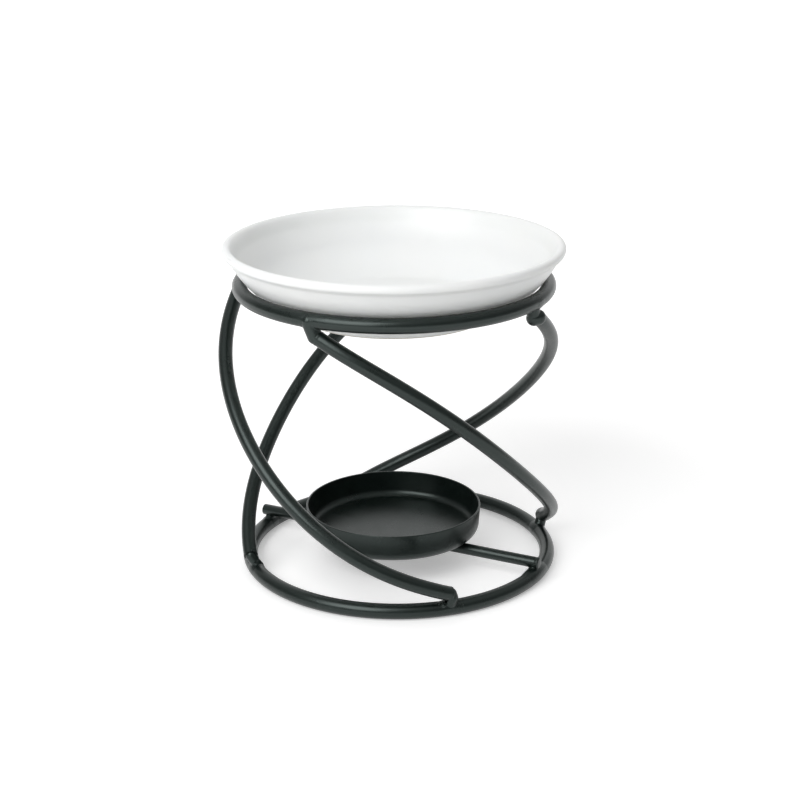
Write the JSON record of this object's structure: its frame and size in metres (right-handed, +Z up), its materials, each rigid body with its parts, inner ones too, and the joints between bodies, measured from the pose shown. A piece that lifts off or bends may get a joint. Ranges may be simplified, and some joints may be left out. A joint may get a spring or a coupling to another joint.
{
  "type": "aroma lamp",
  "caption": "Aroma lamp: a shallow glazed ceramic oil bowl resting in the top ring of a black stand of twisted round bars, with a pressed candle cup on a crossbar below it.",
  "frame": {"origin": "on the table under the middle of the whole lamp", "axes": "+Z up, -Y towards the front of the picture, +X to the right"},
  "size_m": [0.1207, 0.1189, 0.1171],
  "materials": {
    "white_glaze": "glossy white glaze",
    "black_paint": "satin greenish-black paint on mild steel"
  },
  "bodies": {
    "stand": {"top_ring": "black_paint", "bottom_ring": "black_paint", "leg_front": "black_paint", "leg_right": "black_paint", "leg_back": "black_paint", "leg_left": "black_paint", "crossbar": "black_paint", "candle_cup": "black_paint", "weld_front_top": "black_paint", "weld_front_foot": "black_paint", "weld_right_top": "black_paint", "weld_right_foot": "black_paint", "weld_back_top": "black_paint", "weld_back_foot": "black_paint", "weld_left_top": "black_paint", "weld_left_foot": "black_paint", "crossbar_weld_left": "black_paint", "crossbar_weld_right": "black_paint", "cup_weld_front": "black_paint", "cup_weld_back": "black_paint"},
    "bowl": {"oil_bowl": "white_glaze"}
  },
  "joints": [
    {"name": "bowl_lift", "type": "slide", "parent": "stand", "child": "bowl", "axis": [0, 0, 1], "range_m": [0, 0.06]}
  ]
}
